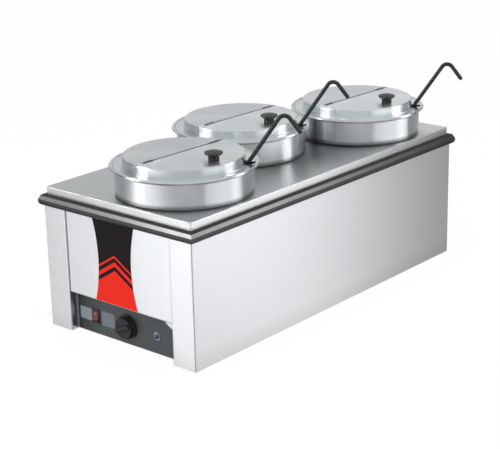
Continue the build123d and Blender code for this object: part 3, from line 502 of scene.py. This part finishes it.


# Adapter plate: a stainless sheet with down-turned edges and three lipped round openings, which lies on
# the rim and lifts off by hand. It has painted shade beside the pots and a painted light at its far end.
# Its turned edges have a painted highlight, with painted shade on them towards the rear and the left.
deck_height = 0.262
edge_middle, edge_half = deck_height - 0.0088, 0.0073
top_half_width, top_half_length = 0.165, 0.368
# Painted shade on the turned edges towards the rear and the left, for each axis:
painted_edge_shade = [("Y", -0.05, 0.34, 0.42), ("X", 0.15, -0.1, 0.62)]  # axis, clear at, full at, tone


def from_to(finish, value, clear, full):
    """A mask that rises from 0 at one value to 1 at another."""
    fade = add_node(finish.node_tree, "ShaderNodeMapRange")
    fade.inputs["From Min"].default_value = clear
    fade.inputs["From Max"].default_value = full
    finish.node_tree.links.new(value, fade.inputs["Value"])
    return fade.outputs["Result"]


plate_steel = brushed_sheet(
    "plate steel", (1, 0.012, 1), dull=(0.55, 0.577, 0.59), bright=(0.668, 0.692, 0.705), rough=0.34,
    axis="Y", smear=0.6)
axes = axes_of(plate_steel)
# Painted shade: the plate is darker beside the pots, from the front pot on.
painted_shade_beside_pots = narrow(plate_steel, axes["X"], middle=0.09, half=0.04, soft=0.04)
past_front = from_to(plate_steel, axes["Y"], clear=-0.24, full=-0.08)
cover(plate_steel, times(plate_steel, painted_shade_beside_pots, past_front), colour=(0.3, 0.31, 0.315))
# A painted light on the far end of the plate.
painted_far_end_light = from_to(plate_steel, axes["Y"], clear=0.295, full=0.33)
cover(plate_steel, painted_far_end_light, colour=(0.76, 0.77, 0.775))
within_width = narrow(plate_steel, axes["X"], middle=0.0, half=top_half_width, soft=0.001)
within_length = narrow(plate_steel, axes["Y"], middle=0.0, half=top_half_length, soft=0.001)
outside = from_to(plate_steel, times(plate_steel, within_width, within_length), clear=1.0, full=0.0)
edge_height = narrow(plate_steel, axes["Z"], middle=edge_middle, half=edge_half, soft=0.0005)
# A painted highlight on the turned edges, with painted shade on them further back and further left.
painted_edge_light = times(plate_steel, edge_height, outside)
cover(plate_steel, painted_edge_light, colour=(0.86, 0.865, 0.87))
for axis, clear, full, tone in painted_edge_shade:
    shaded_edge = times(plate_steel, painted_edge_light, from_to(plate_steel, axes[axis], clear, full))
    cover(plate_steel, shaded_edge, colour=(tone, tone, tone))
vary(plate_steel, painted_edge_light, "Metallic", low=1.0, high=0.8)
dress(plate_steel, "adapter_plate")


# Insets: round food pots, spun from stainless sheet, with a shoulder that stands on the plate and a
# rolled rim. The spinning leaves fine rings round the axis, and a shadow is painted round the foot of the
# collar.
inset_centres = {"front": (0.043, -0.248), "middle": (-0.043, 0.0), "rear": (0.043, 0.248)}
ring_fineness = 1200.0
ring_relief = 0.06

spun_grain, spun_in, spun_out = new_effect("spun grain", "Rings", "Cloud")
link = spun_grain.links.new
parts = add_node(spun_grain, "ShaderNodeSeparateXYZ")
link(spun_in["Place"], parts.inputs["Vector"])
level = add_node(spun_grain, "ShaderNodeCombineXYZ")
link(parts.outputs["X"], level.inputs["X"])
link(parts.outputs["Y"], level.inputs["Y"])
radius = add_node(spun_grain, "ShaderNodeVectorMath", operation="LENGTH")
link(level.outputs["Vector"], radius.inputs[0])
around = add_node(spun_grain, "ShaderNodeVectorMath", operation="NORMALIZE")
link(level.outputs["Vector"], around.inputs[0])
ring = add_node(spun_grain, "ShaderNodeCombineXYZ")
link(radius.outputs["Value"], ring.inputs["X"])
link(parts.outputs["Z"], ring.inputs["Y"])
fine = add_node(spun_grain, "ShaderNodeVectorMath", operation="SCALE")
link(ring.outputs["Vector"], fine.inputs["Vector"])
link(spun_in["Fineness"], fine.inputs["Scale"])
drift = add_node(spun_grain, "ShaderNodeVectorMath", operation="ADD")
link(fine.outputs["Vector"], drift.inputs[0])
link(around.outputs["Vector"], drift.inputs[1])
add_noise(spun_grain, drift.outputs["Vector"], scale=1.0, detail=3.0, mask=spun_out["Rings"])
add_noise(spun_grain, spun_in["Place"], scale=14.0, detail=2.0, mask=spun_out["Cloud"])


def spun_steel(name, centre, dull, bright, rough=0.3, smear=0.9):
    """Steel turned or brushed round an upright axis, so reflections smear across the rings."""
    smoother, rougher = 0.03, 0.04
    finish = new_finish(name, Metallic=1.0, Anisotropic=smear, Anisotropic_Rotation=quarter_turn)
    place = object_place(finish, centre=(*centre, 0))
    grain = place_effect(finish, spun_grain, place, ring_fineness)
    vary_colour(finish, grain["Rings"], dull, bright)
    vary(finish, grain["Cloud"], "Roughness", rough - smoother, rough + rougher)
    raise_surface(finish, grain["Rings"], ring_relief)
    around = add_node(finish.node_tree, "ShaderNodeVectorMath", operation="CROSS_PRODUCT")
    around.inputs[0].default_value = (0, 0, 1)
    finish.node_tree.links.new(place, around.inputs[1])
    finish.node_tree.links.new(around.outputs["Vector"], shader_socket(finish, "Tangent"))
    return finish


for place, centre in inset_centres.items():
    pot_steel = spun_steel(
        f"{place} pot steel", centre, dull=(0.70, 0.73, 0.742), bright=(0.82, 0.846, 0.86))
    # A painted shadow round the foot of the collar, where it stands on the plate.
    painted_foot_shadow = narrow(pot_steel, axes_of(pot_steel)["Z"], middle=deck_height, half=0.0075, soft=0.003)
    cover(pot_steel, painted_foot_shadow, colour=(0.3, 0.305, 0.31))
    dress(pot_steel, f"{place}_inset")


# Lids: each is a fixed half and a flap of polished stainless, joined by two short hinges with steel pins
# along the joint, with painted shade on both halves there. The flap has a slot for the ladle and a black
# mushroom knob, screwed on from below. The middle and rear lids are painted a little brighter, as painted
# light.
lid_turn = math.radians(-2)
joint_offset = -0.006
joint_middle = 0.006
joint_shade_tone = (0.1, 0.105, 0.11)
# Painted light: the middle and rear lids' tones are raised by these factors.
painted_lid_light = {"front": 1.0, "middle": 1.05, "rear": 1.12}
half_tones = {"lid": ((0.635, 0.68, 0.695), (0.735, 0.78, 0.795)),
              "lid_flap": ((0.735, 0.78, 0.795), (0.83, 0.875, 0.89))}


def paint_joint_shade(finish, centre):
    """Paint shade on the edges of both halves along the hinge line."""
    axes = axes_of(finish, centre=(*centre, 0), turn=-lid_turn)
    beside = narrow(finish, axes["X"], middle=joint_offset, half=0.0023, soft=0.0003)
    along = narrow(finish, axes["Y"], middle=joint_middle, half=0.098, soft=0.002)
    cover(finish, times(finish, beside, along), joint_shade_tone)


lid_knob_black = moulded(
    "lid knob black", dark=(0.018, 0.019, 0.02), light=(0.03, 0.031, 0.032), rough=0.38)
for place, centre in inset_centres.items():
    for half, tones in half_tones.items():
        dull, bright = [tuple(min(1.0, painted_lid_light[place] * level) for level in tone) for tone in tones]
        lid_steel = spun_steel(f"{place} {half} steel", centre, dull, bright)
        paint_joint_shade(lid_steel, centre)
        dress(lid_steel, f"{place}_{half}")
    dress(screw_steel, f"{place}_hinge_pins", f"{place}_knob_screw")
    dress(lid_knob_black, f"{place}_lid_knob")


# Ladles: a pressed steel bowl welded to a steel rod, which is bent over at its top.
# A black plastic coating covers the hooked handle.
grip_black = moulded(
    "grip black", dark=(0.010, 0.011, 0.011), light=(0.02, 0.021, 0.021), rough=0.36, relief=0.12)
for place in inset_centres:
    dress(screw_steel, f"{place}_ladle")
    dress(grip_black, f"{place}_ladle_grip")


# Surround and floor: a plain white surround and a pale matt floor. The camera sees both as white, and
# the floor keeps a faint shadow of the object.
surround_light = 0.75
floor_half = 9
floor_white_share = 0.95


def seen_white(tree):
    """A mask that is 1 for the rays that show the backdrop: seen, mirrored or through something clear."""
    rays = add_node(tree, "ShaderNodeLightPath")
    seen = rays.outputs["Is Camera Ray"]
    for kind in ("Is Glossy Ray", "Is Transmission Ray"):
        either = add_node(tree, "ShaderNodeMath", operation="ADD", use_clamp=True)
        tree.links.new(seen, either.inputs[0])
        tree.links.new(rays.outputs[kind], either.inputs[1])
        seen = either.outputs["Value"]
    return seen


def choose(tree, mask, plain, white, surface):
    """Send the white shader to the surface where the mask is 1, and the plain one elsewhere."""
    choice = add_node(tree, "ShaderNodeMixShader")
    tree.links.new(mask, choice.inputs["Fac"])
    tree.links.new(plain, choice.inputs[1])
    tree.links.new(white, choice.inputs[2])
    tree.links.new(choice.outputs["Shader"], surface)


def level_sheet(name, half, height):
    """A square sheet that lies level."""
    mesh = bpy.data.meshes.new(name)
    corners = [(-half, -half, height), (half, -half, height), (half, half, height), (-half, half, height)]
    mesh.from_pydata(corners, [], [(0, 1, 2, 3)])
    return mesh


world = bpy.data.worlds.new("studio")
bpy.context.scene.world = world
world.use_nodes = True
tree = world.node_tree
plain = tree.nodes["Background"]
white = add_node(tree, "ShaderNodeBackground")
for light, strength in ((plain, surround_light), (white, 1.0)):
    light.inputs["Color"].default_value = (1, 1, 1, 1)
    light.inputs["Strength"].default_value = strength
choose(tree, seen_white(tree), plain.outputs["Background"], white.outputs["Background"],
       tree.nodes["World Output"].inputs["Surface"])

floor = add_piece("floor", level_sheet("floor", floor_half, 0))
floor_finish = new_finish(
    "pale floor", Base_Color=(0.9, 0.9, 0.9, 1), Roughness=1.0, Specular_IOR_Level=0.0)
tree = floor_finish.node_tree
matt = tree.nodes["Principled BSDF"]
glow = add_node(tree, "ShaderNodeEmission")
glow.inputs["Strength"].default_value = 1.0
share = add_node(tree, "ShaderNodeMath", operation="MULTIPLY")
share.inputs[1].default_value = floor_white_share
tree.links.new(seen_white(tree), share.inputs[0])
choose(tree, share.outputs["Value"], matt.outputs["BSDF"], glow.outputs["Emission"],
       tree.nodes["Material Output"].inputs["Surface"])
floor.data.materials.append(floor_finish)
floor.visible_glossy = False


# Screens: round walls, light boxes and level cards in greys and white that only reflections show, set
# round the object so that its metal has something to mirror. The brightness along a wall goes by the
# bearing, in degrees from the camera's side.
camera_azimuth = math.radians(40.811)
camera_side = math.degrees(camera_azimuth) - 90
wall_radius, box_radius = 3.4, 3.3
wall_foot, wall_middle, wall_top = -1.85, 0.78, 2.3
wall_step = 5
card_half = 6
ground_drop = 0.1
low_tones = [
    (-160, 0.6), (-140, 0.32), (-104, 0.42), (-96, 0.52), (-91, 0.66), (-87, 0.8), (-84, 0.98),
    (-79, 1.21), (-74, 1.36), (-60, 1.4), (-45, 1.16), (-30, 0.78), (-17, 0.58), (0, 0.56), (18, 0.52),
    (29, 0.48), (32, 0.94), (60, 1.16), (80, 1.12), (89, 1.18), (95.5, 1.22), (98.5, 1.08), (101, 0.82),
    (103, 0.55), (105, 0.36), (109, 0.25), (122, 0.36), (140, 0.34), (158, 0.45), (170, 0.7)]
high_tones = [
    (-160, 0.68), (-135, 0.5), (-112, 0.1), (-64, 0.1), (-55, 0.6), (0, 0.6), (60, 0.6), (74, 0.1),
    (120, 0.1), (140, 0.5), (160, 0.68), (180, 0.68)]
front_box_tones = [
    (-95, 3.0), (-88, 6.0), (-84, 4.6), (-82.4, 6.5), (-80.7, 15.0), (-79.3, 30.0), (-70, 30.0)]
side_box_tones = [(80, 8.0), (91, 8.6), (94, 10.0), (98, 6.0), (101.5, 2.9), (105, 0.9), (108, 0.5)]


def glowing(name, mesh, brightness):
    """A stage card that only reflections show."""
    finish = new_finish(name)
    tree = finish.node_tree
    glow = add_node(tree, "ShaderNodeEmission")
    glow.inputs["Strength"].default_value = brightness
    tree.links.new(glow.outputs["Emission"], tree.nodes["Material Output"].inputs["Surface"])
    mesh.materials.append(finish)
    card = add_piece(name, mesh)
    card.visible_camera = card.visible_diffuse = card.visible_shadow = False
    return tree, glow


def screen_wall(name, radius, foot, top, bearings, end_tone, arc=(-180, 180)):
    """A round wall with a brightness for each bearing, and one tone where the scale of bearings closes."""
    steps = round((arc[1] - arc[0]) / wall_step)
    points = []
    for i in range(steps + 1):
        turn = math.radians(arc[0] + wall_step * i + camera_side)
        x, y = radius * math.cos(turn), radius * math.sin(turn)
        points += [(x, y, foot), (x, y, top)]
    mesh = bpy.data.meshes.new(name)
    mesh.from_pydata(points, [], [(i, i + 1, i + 3, i + 2) for i in range(0, 2 * steps, 2)])
    tree, glow = glowing(name, mesh, 1.0)
    coordinates = add_node(tree, "ShaderNodeTexCoord")
    bearing = add_node(tree, "ShaderNodeTexGradient", gradient_type="RADIAL")
    tones = add_node(tree, "ShaderNodeValToRGB")
    tree.links.new(coordinates.outputs["Object"], bearing.inputs["Vector"])
    tree.links.new(bearing.outputs["Fac"], tones.inputs["Fac"])
    tree.links.new(tones.outputs["Color"], glow.inputs["Color"])
    for end in tones.color_ramp.elements:
        end.color = (end_tone, end_tone, end_tone, 1)
    for relative, tone in bearings:
        position = (relative + camera_side + 180) % 360 / 360
        tones.color_ramp.elements.new(position).color = (tone, tone, tone, 1)


screen_wall("low screens", wall_radius, wall_foot, wall_middle, low_tones, end_tone=0.36)
screen_wall("high screens", wall_radius, wall_middle, wall_top, high_tones, end_tone=0.5)
screen_wall("front box", box_radius, foot=1.25, top=1.75, bearings=front_box_tones, end_tone=1.5,
            arc=(-95, -70))
screen_wall("side box", box_radius, foot=1.05, top=1.7, bearings=side_box_tones, end_tone=0.6,
            arc=(80, 110))
glowing("ceiling", level_sheet("ceiling", card_half, wall_top), brightness=0.7)
glowing("dark ground", level_sheet("dark ground", card_half, wall_foot - ground_drop), brightness=0.06)


# Lamps: a large round soft lamp overhead and a smaller one in front, at a plain level. The metal doesn't
# mirror them.
def soft_lamp(name, place, aim, size, power):
    """A round area lamp that points at its aim."""
    lamp = bpy.data.lights.new(name, "AREA")
    lamp.shape = "DISK"
    lamp.size = size
    lamp.energy = power
    holder = bpy.data.objects.new(name, lamp)
    holder.location = place
    holder.rotation_mode = "QUATERNION"
    holder.rotation_quaternion = (Vector(aim) - Vector(place)).to_track_quat("-Z", "Y")
    holder.visible_glossy = False
    bpy.context.scene.collection.objects.link(holder)


soft_lamp("overhead lamp", place=(0.4, -0.6, 2.6), aim=(0, 0, 0.2), size=2.4, power=30)
soft_lamp("front lamp", place=(1.0, -2.6, 1.6), aim=(0, 0, 0.15), size=1.6, power=14)


# Camera: a long lens at the photograph's viewing angle, with the slight roll of the picture.
# Its place and lens were solved from the object's straight edges and circles.
camera_place = (1.6638, -1.9569, 0.9818)
camera_elevation = math.radians(18.438)
camera_roll = math.radians(-1.309)

bpy.context.scene.view_settings.view_transform = "Standard"
camera_data = bpy.data.cameras.new("photo camera")
camera_data.sensor_width = 36.0
camera_data.lens = 103.17
camera_data.clip_end = 60
camera = bpy.data.objects.new("photo camera", camera_data)
turn = Matrix.Rotation(camera_azimuth, 4, "Z")
tip = Matrix.Rotation(math.pi / 2 - camera_elevation, 4, "X")
roll = Matrix.Rotation(camera_roll, 4, "Z")
camera.matrix_world = Matrix.Translation(camera_place) @ turn @ tip @ roll
bpy.context.scene.collection.objects.link(camera)
bpy.context.scene.camera = camera
